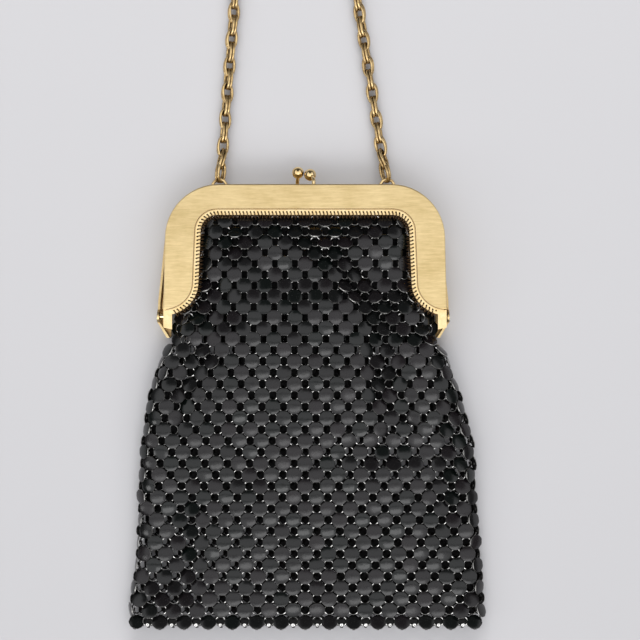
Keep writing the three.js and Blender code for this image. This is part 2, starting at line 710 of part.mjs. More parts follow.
// The origin sits under the middle of the whole purse, at its lowest height
const box = new THREE.Box3().setFromObject(purse);
const middle = box.getCenter(new THREE.Vector3());
purse.position.set(-middle.x, -middle.y, -box.min.z);
purse.updateMatrixWorld(true);

export default purse;
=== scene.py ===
# %% [markdown]
# # A mesh purse, dressed for a portrait
# The purse lies on its back: a hinged gold frame, a chain handle and a soft bag of ring
# mesh faced with black enamel discs. The frame's metal comes ready made, as the CAD
# model. This script gives it its finishes and makes what is too fine for that model:
# about a thousand discs, the rings behind them, the links of the chain and the wire that
# sews the mesh to the frame. Where a piece follows a rule, Geometry Nodes make it.

# %% Load the frame
import math

import bmesh
import bpy
import numpy as np
from mathutils import Matrix, Vector


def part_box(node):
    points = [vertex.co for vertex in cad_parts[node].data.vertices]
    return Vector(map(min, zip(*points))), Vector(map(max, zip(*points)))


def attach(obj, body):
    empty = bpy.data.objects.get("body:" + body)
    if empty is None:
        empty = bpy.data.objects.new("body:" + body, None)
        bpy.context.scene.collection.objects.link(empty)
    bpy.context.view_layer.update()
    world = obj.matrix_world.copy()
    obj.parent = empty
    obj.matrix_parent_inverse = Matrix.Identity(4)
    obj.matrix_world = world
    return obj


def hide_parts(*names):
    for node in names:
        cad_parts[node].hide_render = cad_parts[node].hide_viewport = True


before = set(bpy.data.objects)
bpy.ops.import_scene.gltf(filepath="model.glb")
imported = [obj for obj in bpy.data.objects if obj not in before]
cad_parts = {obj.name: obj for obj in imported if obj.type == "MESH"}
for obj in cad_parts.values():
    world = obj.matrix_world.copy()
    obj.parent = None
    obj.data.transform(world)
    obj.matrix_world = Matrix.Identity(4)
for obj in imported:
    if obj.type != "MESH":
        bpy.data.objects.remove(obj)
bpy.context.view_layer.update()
MM = 0.001

plate_low, plate_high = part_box("frame_front")
FRAME_CENTRE = (plate_low.x + plate_high.x) / 2
FRAME_TOP = plate_high.y
PLATE_TOP = plate_high.z
print(f"Frame: {(plate_high.x - plate_low.x) / MM:.1f} mm wide, {PLATE_TOP / MM:.1f} mm deep")


def at(x, drop, z):
    """A point given from the frame's middle and its top edge, in millimetres"""
    return Vector((FRAME_CENTRE + x * MM, FRAME_TOP - drop * MM, z * MM))


# %% [markdown]
# ## The camera
# It looks straight down, as the photograph was taken, from 750 mm above the front plate.
# The picture is 640 pixels wide and shows 2.4 pixels to a millimetre at the plate, and
# the middle of the frame's top edge is at pixel (305, 184). These four facts place it.

# %% Camera
PICTURE = 640
PIXELS_PER_MM = 2.4
TOP_EDGE_PIXEL = (305, 184)
CAMERA_ABOVE_PLATE = 750 * MM
SENSOR_WIDTH = 36
NEAREST_SEEN = 0.01

view_width = PICTURE / PIXELS_PER_MM * MM
eye = bpy.data.cameras.new("camera")
eye.sensor_width = SENSOR_WIDTH
eye.lens = SENSOR_WIDTH * CAMERA_ABOVE_PLATE / view_width
eye.clip_start = NEAREST_SEEN
camera = bpy.data.objects.new("camera", eye)
camera.location = at(
    (PICTURE / 2 - TOP_EDGE_PIXEL[0]) / PIXELS_PER_MM,
    (PICTURE / 2 - TOP_EDGE_PIXEL[1]) / PIXELS_PER_MM,
    (PLATE_TOP + CAMERA_ABOVE_PLATE) / MM,
)
bpy.context.scene.collection.objects.link(camera)
bpy.context.scene.camera = camera
print(f"Camera: lens {eye.lens:.1f} mm, {camera.location.z / MM:.0f} mm above the floor")

# %% [markdown]
# ## Nodes
# Materials and Geometry Nodes are both node trees. One helper adds a node of any kind:
# its settings first, then the value or the link of each socket.

# %% A helper for nodes
def put(tree, kind, settings=None, sockets=None):
    """A new node of that kind, with its settings and sockets set"""
    made = tree.nodes.new(kind)
    for name, value in (settings or {}).items():
        setattr(made, name, value)
    for name, value in (sockets or {}).items():
        if isinstance(value, bpy.types.NodeSocket):
            tree.links.new(value, made.inputs[name])
        else:
            made.inputs[name].default_value = value
    return made


# %% [markdown]
# ## Shader sums
# Patterns are sums of noises and masks. Written as Python, `1 - mask` should just work,
# so this class wraps one socket and adds the Math node that each operator needs.

# %% The Shade class
class Shade:
    """A value somewhere in a material's tree"""

    def __init__(self, tree, socket):
        self.tree = tree
        self.socket = socket

    def node(self, kind, settings=None, sockets=None, output=0):
        """One output of a new node, whose sockets take values and other shades"""
        plain = {name: getattr(value, "socket", value) for name, value in (sockets or {}).items()}
        made = put(self.tree, kind, settings, plain)
        return Shade(self.tree, made.outputs[output])

    def math(self, operation, *values):
        return self.node("ShaderNodeMath", {"operation": operation}, dict(enumerate(values)))

    def size(self):
        """How far this is from zero"""
        return self.math("ABSOLUTE", self)

    def __add__(self, other):
        return self.math("ADD", self, other)

    def __sub__(self, other):
        return self.math("SUBTRACT", self, other)

    def __rsub__(self, other):
        return self.math("SUBTRACT", other, self)

    def __mul__(self, other):
        return self.math("MULTIPLY", self, other)

    __radd__ = __add__
    __rmul__ = __mul__

    def between(self, low, high):
        """0 at low and below, 1 at high and above, and straight between them"""
        return self.node("ShaderNodeMapRange", {"clamp": True}, {0: self, 1: low, 2: high})

    def noise(self, scale, detail=3, roughness=0.5):
        """Noise on these coordinates, near 0.5 on average"""
        return self.node("ShaderNodeTexNoise", None, {
            "Vector": self, "Scale": scale, "Detail": detail, "Roughness": roughness,
        })

    def stretched(self, x, y, z):
        """These coordinates, with each axis made that many times longer"""
        return self.node("ShaderNodeMapping", None, {"Vector": self, "Scale": (x, y, z)})

    def mix(self, first, second):
        """The first colour where this mask is 0 and the second where it is 1"""
        return self.node("ShaderNodeMix", {"data_type": "RGBA"}, {
            "Factor": self, 6: first, 7: second,
        }, output=2)

    def corner_shade(self, reach):
        """0 deep in corners and 1 on open faces, looking that far, for shade painted into corners
        """
        sockets = {"Distance": reach}
        return self.node("ShaderNodeAmbientOcclusion", {"samples": 8}, sockets, output=1)

    def bump(self, strength, distance):
        """A normal that is raised by this height"""
        return self.node("ShaderNodeBump", None, {
            "Height": self, "Strength": strength, "Distance": distance,
        })


def new_finish(name, **constants):
    """A material with its constants set, the start of its sums, and a way to join them"""
    material = bpy.data.materials.new(name)
    material.use_nodes = True
    tree = material.node_tree
    shader = tree.nodes["Principled BSDF"]
    for socket, value in constants.items():
        shader.inputs[socket.replace("_", " ")].default_value = value
    spot = Shade(tree, put(tree, "ShaderNodeTexCoord").outputs["Object"])

    def join(**sums):
        for socket, value in sums.items():
            tree.links.new(value.socket, shader.inputs[socket.replace("_", " ")])
        return material

    return spot, join


def colour(red, green, blue):
    return (red, green, blue, 1)


# %% [markdown]
# ## Gold
# Three finishes of one metal. The plates are brushed sideways, so their noise is
# stretched along X into streaks that are long and a third of a millimetre high. The rims,
# balls and rivets are polished. The chain is an older, redder gold with dull patches.
# All three have shade painted into their corners as a darker base colour.

# %% Brushed gold
def make_brushed_gold():
    spot, join = new_finish("brushed_gold", Metallic=1, Anisotropic=0.35)
    fine = spot.stretched(240, 3600, 3600).noise(1, detail=4, roughness=0.7)
    broad = spot.stretched(90, 900, 900).noise(1, detail=3)
    cloud = spot.noise(60, detail=4, roughness=0.6)
    streak = fine * 0.6 + broad * 0.4
    tone = (streak * 1.5 - 0.25 + (cloud - 0.5) * 0.9).between(0.2, 0.9)
    gold = tone.mix(colour(0.615, 0.458, 0.21), colour(0.915, 0.724, 0.397))
    # Painted shade: the base colour turns dark brown in corners and beside walls, where shade
    # falls.
    return join(
        Base_Color=spot.corner_shade(0.004).between(0.25, 0.8).mix(colour(0.2, 0.07, 0.015), gold),
        Roughness=streak * 0.22 + 0.27,
        Normal=streak.bump(0.25, 0.00012),
    )


brushed_gold = make_brushed_gold()

# %% Polished gold
def make_polished_gold():
    spot, join = new_finish("polished_gold", Metallic=1)
    cloud = spot.noise(420, detail=3)
    clean = cloud.between(0.3, 0.75).mix(colour(0.86, 0.63, 0.3), colour(1.0, 0.8, 0.46))
    # Painted shade: the base colour turns dark brown in tight corners, such as the step between
    # rim and plate.
    return join(
        Base_Color=spot.corner_shade(0.0012).between(0.5, 0.88).mix(colour(0.16, 0.09, 0.035), clean),
        Roughness=cloud * 0.16 + 0.08,
        Normal=spot.noise(2600).bump(0.12, 0.00006),
    )


polished_gold = make_polished_gold()

# %% Chain gold
def make_chain_gold():
    spot, join = new_finish("chain_gold", Metallic=1)
    dull = spot.noise(260, detail=4, roughness=0.65).between(0.42, 0.7)
    gold = dull.mix(colour(0.78, 0.57, 0.28), colour(0.44, 0.29, 0.125))
    # Painted shade: the base colour turns dark brown where links cross and in other hollows.
    return join(
        Base_Color=spot.corner_shade(0.002).between(0.35, 0.92).mix(colour(0.13, 0.075, 0.025), gold),
        Roughness=dull * 0.22 + 0.16,
        Normal=spot.noise(1900).bump(0.2, 0.0001),
    )


chain_gold = make_chain_gold()

# %% [markdown]
# ## Enamel, silver and sewing wire
# The discs are glossy black enamel on bare metal. Two numbers stored on the mesh steer the
# enamel: one is 1 on a disc's thin bare edge, and "worn" is a chance value of each disc.
# The inside of the bag is dulled and coloured almost black, as painted shade. A face
# belongs to the inside where it points against "facing", the direction that its disc or
# ring looks in.

# %% Black enamel
def outer_side(spot):
    """1 on faces that look out of the bag and 0 on those that look into it"""
    facing = spot.node("ShaderNodeAttribute", {"attribute_name": "facing"}, output=1)
    normal = spot.node("ShaderNodeNewGeometry", output=1)
    agree = normal.node("ShaderNodeVectorMath", {"operation": "DOT_PRODUCT"}, {
        0: normal, 1: facing,
    }, output=1)
    return agree.between(-0.15, 0.1)


def make_black_enamel():
    spot, join = new_finish("black_enamel", IOR=1.46)
    bare_and_glint = spot.node("ShaderNodeAttribute", {"attribute_name": "bare_and_glint"}, output=2)
    worn = spot.node("ShaderNodeAttribute", {"attribute_name": "worn"}, output=2)
    outer = outer_side(spot)
    smear = spot.noise(640, detail=3).between(0.35, 0.75)
    enamel = worn.mix(colour(0.0025, 0.004, 0.0035), colour(0.008, 0.0062, 0.0072))
    metal = bare_and_glint.mix(enamel, colour(0.34, 0.335, 0.32))
    # Painted shade: faces that look into the bag take a near-black base colour.
    return join(
        Base_Color=outer.mix(colour(0.004, 0.004, 0.004), metal),
        Metallic=bare_and_glint * outer,
        Roughness=outer * (worn * 0.12 + smear * 0.08 + bare_and_glint * 0.1 - 0.72) + 0.84,
        Normal=spot.noise(330, detail=2).bump(0.22, 0.0003),
    )


black_enamel = make_black_enamel()

# %% Silver wire and dark sewing wire
def make_ring_silver():
    spot, join = new_finish("ring_silver", Metallic=1)
    outer = outer_side(spot)
    cloud = spot.noise(900, detail=2)
    bare_and_glint = spot.node("ShaderNodeAttribute", {"attribute_name": "bare_and_glint"}, output=2)
    # Painted highlight and shade: the wire is bright silver only in spots at its four diagonals
    # and dark grey elsewhere; the arms, which carry no such marks, are dark grey all over.
    painted_glints = bare_and_glint.between(0.35, 0.7) * spot.noise(420, detail=2).between(0.42, 0.58)
    silver = painted_glints.mix(colour(0.12, 0.118, 0.114), colour(0.93, 0.92, 0.89))
    # Painted shade: faces that look into the bag take a near-black base colour.
    return join(
        Base_Color=outer.mix(colour(0.012, 0.011, 0.01), silver),
        Roughness=outer * (cloud * 0.2 - 0.5) + 0.62,
    )


def make_polished_silver():
    spot, join = new_finish("polished_silver", Metallic=1)
    cloud = spot.noise(1500, detail=2)
    return join(
        Base_Color=cloud.mix(colour(0.8, 0.79, 0.77), colour(0.97, 0.96, 0.94)),
        Roughness=cloud * 0.2 + 0.1,
    )


def make_sewing_bronze():
    spot, join = new_finish("sewing_bronze", Metallic=1)
    cloud = spot.noise(1200, detail=2)
    return join(
        Base_Color=cloud.mix(colour(0.05, 0.032, 0.018), colour(0.17, 0.105, 0.055)),
        Roughness=cloud * 0.25 + 0.2,
    )


ring_silver = make_ring_silver()
polished_silver = make_polished_silver()
sewing_bronze = make_sewing_bronze()

# %% Finishes of the CAD pieces
for node, finish in {
    "frame_front": brushed_gold,
    "frame_back": brushed_gold,
    "rim_front": polished_gold,
    "rim_back": polished_gold,
    "hinge_pin_left": polished_gold,
    "hinge_pin_right": polished_gold,
    "chain_bail_left": chain_gold,
    "chain_bail_right": chain_gold,
}.items():
    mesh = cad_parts[node].data
    mesh.materials.clear()
    mesh.materials.append(finish)

# %% [markdown]
# ## A floor and soft light
# The purse lies on a pale board in a bright room. The room is dark low down all round,
# and dark towards the top of the picture except at the sides. A dim bar crosses it
# towards the bottom, where a wide window stands, and a small window stands to the left.
# Each disc is a small dome that mirrors all of it: grey from above on its middle, a dark
# upper edge and a bright arc along its lower edge. Discs that lean away turn black. The
# third light brightens the board beyond the frame, and nothing mirrors it.

# %% Floor
FLOOR_HALF = 6
FLOOR_LIGHT_GRADIENT = (-0.2, 0.2)
FLOOR_CLOUDS = 0.3


def make_floor():
    spot, join = new_finish("pale_board", Roughness=0.62)
    north = spot.node("ShaderNodeSeparateXYZ", None, {"Vector": spot}, output=1)
    clouds = spot.noise(2.2, detail=2) * FLOOR_CLOUDS - FLOOR_CLOUDS / 2
    # Painted light: the board's colour grows lighter towards the top of the picture; the random
    # clouds are its own tone.
    tone = north.between(*FLOOR_LIGHT_GRADIENT) + clouds
    return join(Base_Color=tone.mix(colour(0.526, 0.522, 0.534), colour(0.558, 0.554, 0.566)))


board = bpy.data.meshes.new("floor")
board.from_pydata(
    [(x * FLOOR_HALF, y * FLOOR_HALF, 0) for x, y in ((-1, -1), (1, -1), (1, 1), (-1, 1))],
    [],
    [(0, 1, 2, 3)],
)
board.materials.append(make_floor())
floor = bpy.data.objects.new("floor", board)
bpy.context.scene.collection.objects.link(floor)

# %% The room and its window
ROOM_DIM = 0.08
ROOM_BRIGHT = 1.39
ROOM_BLUE = 1.02

# Edges in the room, as parts of a unit vector: up, towards the picture's top, and aside
LOW_EDGE = (0.36, 0.58)
NORTH_EDGE = (0.28, 0.38)
SIDE_EDGE = (0.36, 0.48)
BAR_FOOT = (-0.25, -0.22)
BAR_TOP = (-0.17, -0.14)
BAR_SHARE = 0.7
WANE_SPAN = (-0.5, 0.6)
WANE_SHARE = 0.25

# Place, point aimed at, width, height and radiance
WINDOW = ((0.15, -1.25, 1.95), (0, -0.08, 0), 1.7, 0.7, 2.5)
SIDE_WINDOW = ((-1.9, -0.9, 0.95), (0, -0.08, 0), 0.5, 0.5, 4)
FILL_LIGHT = ((0, 1.6, 1.3), (0, 0, 0), 1.6, 0.6, 8)


def make_room():
    room = bpy.data.worlds.new("soft_room")
    room.use_nodes = True
    tree = room.node_tree
    way = Shade(tree, put(tree, "ShaderNodeTexCoord").outputs["Generated"])
    north = way.node("ShaderNodeSeparateXYZ", None, {"Vector": way}, output=1)
    up = way.node("ShaderNodeSeparateXYZ", None, {"Vector": way}, output=2)
    side = way.node("ShaderNodeSeparateXYZ", None, {"Vector": way}).size()
    dark = north.between(*NORTH_EDGE) * (1 - side.between(*SIDE_EDGE))
    bar = north.between(*BAR_FOOT) - north.between(*BAR_TOP)
    wane = 1 - north.between(*WANE_SPAN) * WANE_SHARE
    lit = up.between(*LOW_EDGE) * (1 - dark) * wane * (1 - bar * BAR_SHARE)
    light = lit.mix(
        colour(ROOM_DIM, ROOM_DIM, ROOM_DIM),
        colour(ROOM_BRIGHT, ROOM_BRIGHT, ROOM_BRIGHT * ROOM_BLUE),
    )
    tree.links.new(light.socket, tree.nodes["Background"].inputs["Color"])
    return room


def soft_panel(name, place, aim, width, height, radiance):
    """A flat panel of light of one brightness, turned towards a point"""
    lamp = bpy.data.lights.new(name, "AREA")
    lamp.shape = "RECTANGLE"
    lamp.size = width
    lamp.size_y = height
    lamp.energy = radiance * math.pi * width * height
    panel = bpy.data.objects.new(name, lamp)
    panel.location = place
    panel.rotation_euler = (Vector(aim) - Vector(place)).to_track_quat("-Z", "Y").to_euler()
    bpy.context.scene.collection.objects.link(panel)
    return panel


bpy.context.scene.world = make_room()
soft_panel("window", *WINDOW)
soft_panel("side_window", *SIDE_WINDOW)
fill = soft_panel("fill", *FILL_LIGHT)
fill.visible_glossy = False
bpy.context.scene.view_settings.view_transform = "Standard"

# %% [markdown]
# ## Two node trees that make the fine pieces
# One tree sets a shape at every point of a mesh, turned the way that the point's own
# "facing" and "across" say, as wide as its "widen" says and tipped a little by chance.
# The other turns a line into round wire. Each result becomes a plain mesh, so nothing
# live is left behind.

# %% Helpers for Geometry Nodes
def new_tree(name, inputs):
    """A tree whose inputs are a geometry and the named ones, each of its kind"""
    tree = bpy.data.node_groups.new(name, "GeometryNodeTree")
    tree.is_modifier = True
    tree.interface.new_socket("Geometry", in_out="OUTPUT", socket_type="NodeSocketGeometry")
    tree.interface.new_socket("Geometry", in_out="INPUT", socket_type="NodeSocketGeometry")
    for label, kind in inputs.items():
        tree.interface.new_socket(label, in_out="INPUT", socket_type="NodeSocket" + kind)
    return tree, put(tree, "NodeGroupInput"), put(tree, "NodeGroupOutput")


def end_tree(tree, shape, given, out):
    """Instances made real, the material set, and the tree's output"""
    real = put(tree, "GeometryNodeRealizeInstances", None, {"Geometry": shape})
    smooth = put(tree, "GeometryNodeSetShadeSmooth", None, {"Geometry": real.outputs[0]})
    painted = put(tree, "GeometryNodeSetMaterial", None, {
        "Geometry": smooth.outputs[0], "Material": given.outputs["Material"],
    })
    tree.links.new(painted.outputs[0], out.inputs[0])


def grow(name, start, tree, values):
    """Runs a tree on a mesh and returns what it makes as a plain object of that name"""
    seed = bpy.data.objects.new(name + "_start", start)
    bpy.context.scene.collection.objects.link(seed)
    modifier = seed.modifiers.new("grow", "NODES")
    modifier.node_group = tree
    for item in tree.interface.items_tree:
        if item.in_out == "INPUT" and item.name in values:
            modifier[item.identifier] = values[item.name]
    bpy.context.view_layer.update()
    ready = seed.evaluated_get(bpy.context.evaluated_depsgraph_get())
    mesh = bpy.data.meshes.new_from_object(ready)
    mesh.name = name
    bpy.data.objects.remove(seed)
    piece = bpy.data.objects.new(name, mesh)
    bpy.context.scene.collection.objects.link(piece)
    mesh.calc_loop_triangles()
    print(f"{name}: {len(mesh.loop_triangles)} triangles")
    return piece


# %% The scatter tree
def scatter_tree():
    tree, given, out = new_tree("scatter", {
        "Shape": "Object", "Tilt": "Float", "Seed": "Int", "Material": "Material",
    })
    vector = {"data_type": "FLOAT_VECTOR"}
    facing = put(tree, "GeometryNodeInputNamedAttribute", vector, {"Name": "facing"})
    across = put(tree, "GeometryNodeInputNamedAttribute", vector, {"Name": "across"})
    widen = put(tree, "GeometryNodeInputNamedAttribute", vector, {"Name": "widen"})
    number = {"data_type": "FLOAT"}
    loose = put(tree, "GeometryNodeInputNamedAttribute", number, {"Name": "loose"})
    axes = {"primary_axis": "Z", "secondary_axis": "X"}
    upright = put(tree, "FunctionNodeAxesToRotation", axes, {
        0: facing.outputs["Attribute"], 1: across.outputs["Attribute"],
    })
    chance = put(tree, "FunctionNodeRandomValue", vector, {
        "Min": (-1, -1, -0.5), "Max": (1, 1, 0.5), "Seed": given.outputs["Seed"],
    })
    swing = put(tree, "ShaderNodeMath", {"operation": "MULTIPLY"}, {
        0: given.outputs["Tilt"], 1: loose.outputs["Attribute"],
    })
    angles = put(tree, "ShaderNodeVectorMath", {"operation": "SCALE"}, {
        0: chance.outputs[0], "Scale": swing.outputs[0],
    })
    tip = put(tree, "FunctionNodeEulerToRotation", None, {0: angles.outputs[0]})
    turned = put(tree, "FunctionNodeRotateRotation", {"rotation_space": "LOCAL"}, {
        "Rotation": upright.outputs[0], "Rotate By": tip.outputs[0],
    })
    shape = put(tree, "GeometryNodeObjectInfo", None, {"Object": given.outputs["Shape"]})
    copies = put(tree, "GeometryNodeInstanceOnPoints", None, {
        "Points": given.outputs["Geometry"],
        "Instance": shape.outputs["Geometry"],
        "Rotation": turned.outputs[0],
        "Scale": widen.outputs["Attribute"],
    })
    worn = put(tree, "FunctionNodeRandomValue", number, {"Seed": given.outputs["Seed"]})
    per_copy = {"data_type": "FLOAT", "domain": "INSTANCE"}
    kept = put(tree, "GeometryNodeStoreNamedAttribute", per_copy, {
        "Geometry": copies.outputs[0], "Name": "worn", "Value": worn.outputs[1],
    })
    end_tree(tree, kept.outputs[0], given, out)
    return tree


# %% The wire tree
def wire_tree():
    inputs = {"Radius": "Float", "Sides": "Int", "Material": "Material"}
    tree, given, out = new_tree("wire", inputs)
    line = put(tree, "GeometryNodeMeshToCurve", None, {"Mesh": given.outputs["Geometry"]})
    section = put(tree, "GeometryNodeCurvePrimitiveCircle", {"mode": "RADIUS"}, {
        "Radius": given.outputs["Radius"], "Resolution": given.outputs["Sides"],
    })
    wire = put(tree, "GeometryNodeCurveToMesh", None, {
        "Curve": line.outputs[0], "Profile Curve": section.outputs[0], "Fill Caps": True,
    })
    end_tree(tree, wire.outputs[0], given, out)
    return tree


scatter = scatter_tree()
wire = wire_tree()

# %% What the trees start from
class Places:
    """Points, with the way a shape faces and lies there, how loose and how wide it is"""

    def __init__(self):
        self.points = []
        self.facing = []
        self.across = []
        self.loose = []
        self.widen = []

    def add(self, point, facing, across, loose=1.0, widen=1.0):
        self.points.append(tuple(point))
        self.facing.append(facing)
        self.across.append(across)
        self.loose.append(loose)
        self.widen.append((widen, 1, 1))

    def mesh(self, name):
        mesh = bpy.data.meshes.new(name)
        mesh.from_pydata(self.points, [], [])
        vectors = {"facing": self.facing, "across": self.across, "widen": self.widen}
        for label, values in vectors.items():
            stored = mesh.attributes.new(label, "FLOAT_VECTOR", "POINT")
            stored.data.foreach_set("vector", np.array(values, dtype=np.float32).ravel())
        stored = mesh.attributes.new("loose", "FLOAT", "POINT")
        stored.data.foreach_set("value", np.array(self.loose, dtype=np.float32))
        return mesh


def scattered(name, places, mesh, tilt, seed, material):
    """A shape set at every place, as one piece of the purse"""
    shape = bpy.data.objects.new(name + "_shape", mesh)
    piece = grow(name, places.mesh(name + "_places"), scatter, {
        "Shape": shape, "Tilt": math.radians(tilt), "Seed": seed, "Material": material,
    })
    bpy.data.objects.remove(shape)
    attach(piece, "root")
    return piece


def wired(name, lines, radius, sides, material):
    """Round wire along each line of points, as one piece of the purse"""
    points, edges = [], []
    for line in lines:
        edges += [(len(points) + i, len(points) + i + 1) for i in range(len(line) - 1)]
        points += [tuple(point) for point in line]
    mesh = bpy.data.meshes.new(name + "_lines")
    mesh.from_pydata(points, edges, [])
    piece = grow(name, mesh, wire, {"Radius": radius * MM, "Sides": sides, "Material": material})
    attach(piece, "root")
    return piece


def finished(shape, name):
    """The mesh of a shape that is done"""
    made = bpy.data.meshes.new(name)
    shape.to_mesh(made)
    shape.free()
    return made


GLINT_SPAN = 0.1


def loop_mesh(name, length, width, wire_radius, steps, sides, apart=0.0, splay=0.0):
    """An oval loop of wire, long in X, or two of them one above the other if set apart

    Its four diagonals are marked in a float layer, which is where a finish may paint a highlight.
    """
    shape = bmesh.new()
    bare_and_glint = shape.verts.layers.float.new("bare_and_glint")
    for lift in (-apart / 2, apart / 2) if apart else (0.0,):
        turned = Matrix.Rotation(math.copysign(splay, lift), 3, "Z")
        rings = []
        for step in range(steps):
            turn = 2 * math.pi * (step + 0.5) / steps
            spine = Vector((math.cos(turn) * length / 2, math.sin(turn) * width / 2, lift))
            way = Vector((spine.x * width / length, spine.y * length / width, 0)).normalized()
            ring = []
            for side in range(sides):
                bend = 2 * math.pi * side / sides
                aside = way * math.cos(bend) + Vector((0, 0, math.sin(bend)))
                ring.append(shape.verts.new(turned @ (spine + wire_radius * aside) * MM))
                ring[-1][bare_and_glint] = float(abs(abs(way.x) - abs(way.y)) < GLINT_SPAN)
            rings.append(ring)
        for here, after in zip(rings, rings[1:] + rings[:1]):
            for side in range(sides):
                up = (side + 1) % sides
                shape.faces.new((here[side], after[side], after[up], here[up]))
    return finished(shape, name)


# %% [markdown]
# ## Where the discs lie
# Ring mesh is a tube of cloth: every row has the same number of discs and is shifted by
# half a disc. The CAD bag gives the tube's form. For each row the script cuts its outer
# wall across, measures that outline from the middle of the front, and shares the discs
# out along it. Between the legs of the frame the mesh is two flat panels instead, sewn
# to the rims, so there the rows run from the middle to the legs only. The last row is
# laid in two halves too, so that the front and the back end alike.

# %% Lines and how far along them
def distances(points):
    """How far along a line each of its points lies"""
    steps = np.linalg.norm(np.diff(points, axis=0), axis=1)
    return np.concatenate([[0], np.cumsum(steps)])


def point_along(spot, along, points):
    """The point that lies that far along a line"""
    return np.array([np.interp(spot, along, points[:, axis]) for axis in range(3)])


def unit(vector):
    return vector / np.linalg.norm(vector)


# %% Outlines of the bag
WELD_REACH = 1e-6
MIDDLE_PULL = 4

bag = bmesh.new()
bag.from_mesh(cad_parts["mesh_bag"].data)
bmesh.ops.remove_doubles(bag, verts=bag.verts, dist=WELD_REACH)


class Outline:
    """The outer outline of the bag at one drop, measured from the middle of its front

    The middle of its back lies opposite, given as a share of the way round.
    """

    def __init__(self, drop):
        y = FRAME_TOP - drop * MM
        points = {}
        for edge in bag.edges:
            a, b = (v.co for v in edge.verts)
            if (a.y - y) * (b.y - y) < 0:
                points[edge] = a.lerp(b, (y - a.y) / (b.y - a.y))
        loops = []
        left = set(points)
        while left:
            edge = left.pop()
            loop = [points[edge]]
            while edge:
                steps = [e for face in edge.link_faces for e in face.edges if e in left]
                edge = steps[0] if steps else None
                if edge:
                    left.discard(edge)
                    loop.append(points[edge])
            loops.append(np.array(loop))
        outer = max(loops, key=lambda loop: np.ptp(loop[:, 0]))
        first = np.argmax(outer[:, 2] - MIDDLE_PULL * np.abs(outer[:, 0] - FRAME_CENTRE))
        outer = np.roll(outer, -first, axis=0)
        if outer[1, 0] < outer[0, 0]:
            outer = np.roll(outer[::-1], 1, axis=0)
        self.points = np.vstack([outer, outer[:1]])
        self.along = distances(self.points)
        self.length = self.along[-1]
        self.middle = FRAME_CENTRE - self.points[0, 0]
        aside = self.points[:, 0] - FRAME_CENTRE
        crossings = [i for i in range(len(outer)) if aside[i] > 0 >= aside[i + 1]]
        back = min(crossings, key=lambda i: self.points[i, 2])
        self.opposite = (self.along[back] + aside[back] - self.middle) / self.length

    def at(self, share):
        """The point after that share of the way round"""
        held = (share * self.length + self.middle) % self.length
        return point_along(held, self.along, self.points)


# %% Rows of discs
ROW_COUNT = 37
ROW_KNOTS = (0, 12, 36)
DROP_KNOTS = (14.9, 69.2, 184.2)
AROUND = 31
TOP_PITCH = 8.35 * MM
FOOT_PITCH = 10.25 * MM
PITCH_EASE = 1.3
PANEL_END = 55
PANEL_MARGIN = 1.5 * MM
CROWDING = 0.15

row_drops = np.interp(range(ROW_COUNT), ROW_KNOTS, DROP_KNOTS)
outlines = [Outline(drop) for drop in row_drops]
bag.free()


def pitch_in_row(row):
    """From the middle of one disc to the next, wider towards the foot"""
    fallen = (row_drops[row] - row_drops[0]) / (row_drops[-1] - row_drops[0])
    return TOP_PITCH + (FOOT_PITCH - TOP_PITCH) * fallen**PITCH_EASE


def places_in_row(row):
    """Shares of the way round for the row's discs, and for the gaps between them"""
    pitch = pitch_in_row(row)
    length = outlines[row].length
    shift = row % 2
    if row_drops[row] < PANEL_END or row == ROW_COUNT - 1:
        reach = length / 4 - PANEL_MARGIN
        steps = [s for s in range(-2 * AROUND, 2 * AROUND) if abs(s) * pitch / 2 < reach]
        front = [(step * pitch / 2 / length, step % 2 != shift) for step in steps]
        opposite = outlines[row].opposite
        return front + [(opposite + share, not is_gap) for share, is_gap in front]
    crowd = np.clip(1 - pitch * AROUND / length, -CROWDING, CROWDING)
    turns = np.arange(2 * AROUND) / (2 * AROUND)
    eased = turns - crowd * np.sin(2 * math.pi * turns) / (2 * math.pi)
    return [(turn, step % 2 != shift) for step, turn in enumerate(eased)]


# %% [markdown]
# ## Folds
# The big folds are in the CAD bag. Here each line adds a soft patch of the front where
# the discs lean more than the cloth does: up or down the picture, or sideways. In a room
# that is dark at the top, a lean of 20 degrees upwards is enough to turn a disc black.

# %% Patches that lean
LEANING = (
    # middle x, drop, half width, half height, lean up, lean aside
    (6, 16.5, 38, 8, 37, 0),
    (9, 27, 13, 8, 33, 4),
    (-30, 26, 9, 10, 33, -6),
    (-45, 36, 5, 16, 28, -10),
    (21, 40, 8, 9, 33, 10),
    (31, 52, 9, 10, 33, 8),
    (43, 45, 7, 7, 29, 10),
    (34, 76, 8, 18, 31, 8),
    (48, 62, 9, 5, 33, 0),
    (2, 45, 19, 4.5, 15, 0),
    (-45, 50, 8, 13, 28, -10),
    (-43, 73, 7, 7, 31, -6),
    (-52, 86, 6, 8, 30, -10),
    (-30, 57, 6, 6, 24, 10),
    (-47, 67, 2.5, 3, -30, -18),
    (-49, 78, 2.5, 4, -28, -20),
    (34, 115, 19, 4, 33, 0),
    (-24, 127, 12, 5, 20, 0),
    (-49, 154, 5, 32, 31, -6),
    (-62, 174, 11, 11, 31, -4),
    (62, 118, 6, 30, 31, 6),
    (58, 66, 6, 9, 30, 4),
    (70, 178, 7, 7, 31, 4),
    (-2, 172, 42, 2.6, 15, 0),
)


def lean_at(x, drop):
    """How far discs lean there, in degrees up and aside, and how strongly it is folded"""
    up = aside = folded = 0.0
    for middle, down, half_width, half_height, lean_up, lean_aside in LEANING:
        reach = ((x - middle) / half_width) ** 2 + ((drop - down) / half_height) ** 2
        strength = math.exp(-reach * reach)
        up += lean_up * strength
        aside += lean_aside * strength
        folded = max(folded, strength)
    return up, aside, folded


